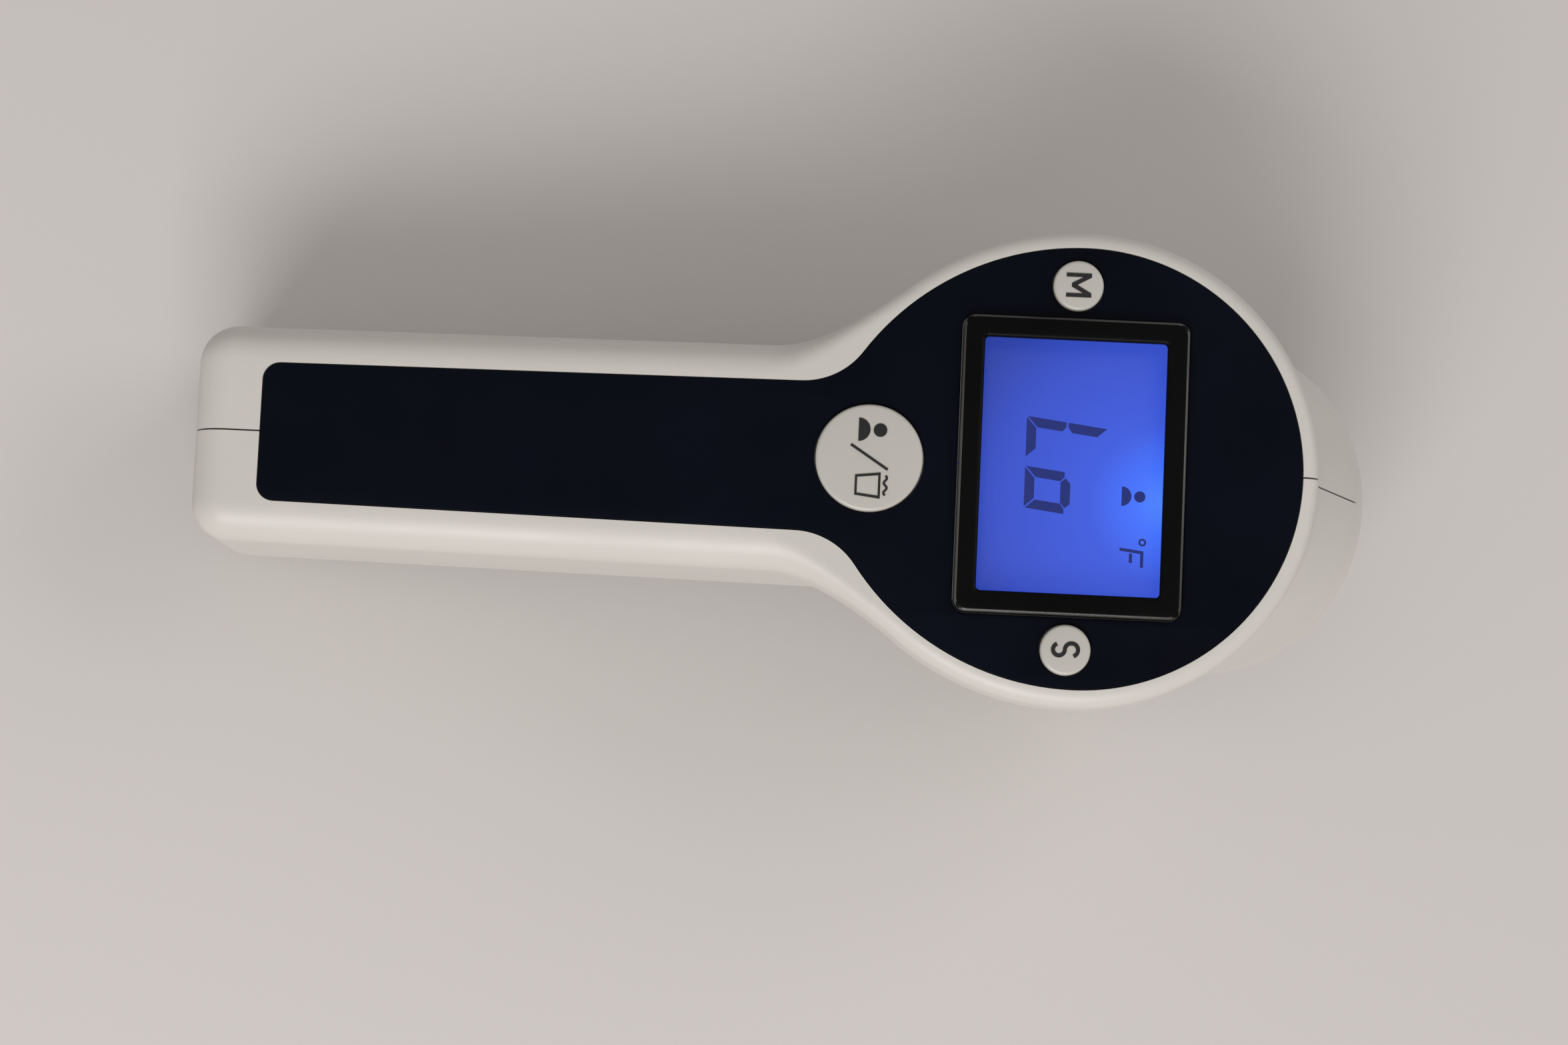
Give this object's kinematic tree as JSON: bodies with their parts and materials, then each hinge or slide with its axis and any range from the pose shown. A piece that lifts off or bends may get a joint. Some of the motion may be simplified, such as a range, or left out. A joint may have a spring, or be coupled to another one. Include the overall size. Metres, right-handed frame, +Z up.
{
  "type": "infrared forehead thermometer",
  "caption": "Pistol-shaped non-contact infrared thermometer with a round display head, face buttons, a trigger, a leaning nozzle and a sliding battery cover.",
  "frame": {"origin": "centre of the footprint, on the surface the thermometer rests on, lying face up", "axes": "+Z up; +X from the butt of the handle to the head; +Y to the left side of the face"},
  "size_m": [0.162, 0.0638, 0.0577],
  "materials": {
    "white_shell": "satin off-white ABS",
    "panel_film": "smooth dark navy panel",
    "bezel_plastic": "black, slightly worn edges",
    "clear_window": "clear cover",
    "lcd_cell": "blue lit liquid crystal cell",
    "guide_plastic": "frosted acrylic light guide",
    "holder_plastic": "white moulded frame",
    "zebra_rubber": "layered conductive elastomer",
    "board_green": "green solder mask",
    "chip_black": "moulded black epoxy",
    "switch_metal": "stamped cover",
    "stem_plastic": "orange nylon",
    "button_plastic": "satin white ABS",
    "trigger_plastic": "satin dark blue grey",
    "spring_steel": "drawn wire",
    "ring_plastic": "satin grey",
    "cone_plastic": "smooth black",
    "collar_brass": "turned",
    "can_metal": "nickel plated can",
    "filter_glass": "dark infrared filter",
    "tray_plastic": "black moulding",
    "cell_sleeve": "plain grey sleeve",
    "contact_plate": "nickel plated strip",
    "screw_steel": "zinc plated",
    "lead_red": "insulated lead",
    "lead_black": "insulated lead",
    "lead_white": "insulated leads"
  },
  "bodies": {
    "case": {"left_housing": "white_shell", "right_housing": "white_shell", "face_panel": "panel_film", "lcd_bezel": "bezel_plastic", "display_window": "clear_window", "lcd_glass": "lcd_cell", "light_guide": "guide_plastic", "lcd_holder": "holder_plastic", "zebra_strip": "zebra_rubber", "main_board": "board_green", "microcontroller": "chip_black", "buzzer": "chip_black", "mode_switch": "switch_metal", "memory_switch": "switch_metal", "setup_switch": "switch_metal", "trigger_switch": "switch_metal", "trigger_spring": "spring_steel", "battery_spring_1": "spring_steel", "battery_spring_2": "spring_steel", "nose_ring": "ring_plastic", "sensor_cone": "cone_plastic", "sensor_collar": "collar_brass", "thermopile_sensor": "can_metal", "sensor_window": "filter_glass", "sensor_board": "board_green", "battery_tray": "tray_plastic", "battery_1": "cell_sleeve", "battery_2": "cell_sleeve", "bridge_contact": "contact_plate", "positive_contact": "contact_plate", "negative_contact": "contact_plate", "housing_screws": "screw_steel", "board_screws": "screw_steel", "positive_lead": "lead_red", "negative_lead": "lead_black", "sensor_leads": "lead_white"},
    "mode_key": {"mode_button": "button_plastic", "mode_switch_stem": "stem_plastic"},
    "memory_key": {"memory_button": "button_plastic", "memory_switch_stem": "stem_plastic"},
    "setup_key": {"setup_button": "button_plastic", "setup_switch_stem": "stem_plastic"},
    "trigger": {"trigger": "trigger_plastic", "trigger_switch_stem": "stem_plastic"},
    "cover": {"battery_cover": "white_shell"}
  },
  "joints": [
    {"name": "mode_press", "type": "slide", "parent": "case", "child": "mode_key", "axis": [0.1995, 0, -0.9799], "range_m": [0, 0.0006], "stiffness_N_per_m": 2500, "springref_m": -0.0002},
    {"name": "memory_press", "type": "slide", "parent": "case", "child": "memory_key", "axis": [0.1995, 0, -0.9799], "range_m": [0, 0.0006], "stiffness_N_per_m": 2500, "springref_m": -0.0002},
    {"name": "setup_press", "type": "slide", "parent": "case", "child": "setup_key", "axis": [0.1995, 0, -0.9799], "range_m": [0, 0.0006], "stiffness_N_per_m": 2500, "springref_m": -0.0002},
    {"name": "trigger_pull", "type": "slide", "parent": "case", "child": "trigger", "axis": [-0.1995, 0, 0.9799], "range_m": [0, 0.0018], "stiffness_N_per_m": 700, "springref_m": -0.0004, "deforming": ["trigger_spring"]},
    {"name": "cover_slide", "type": "slide", "parent": "case", "child": "cover", "axis": [-0.9799, 0, -0.1995], "range_m": [0, 0.07]}
  ]
}
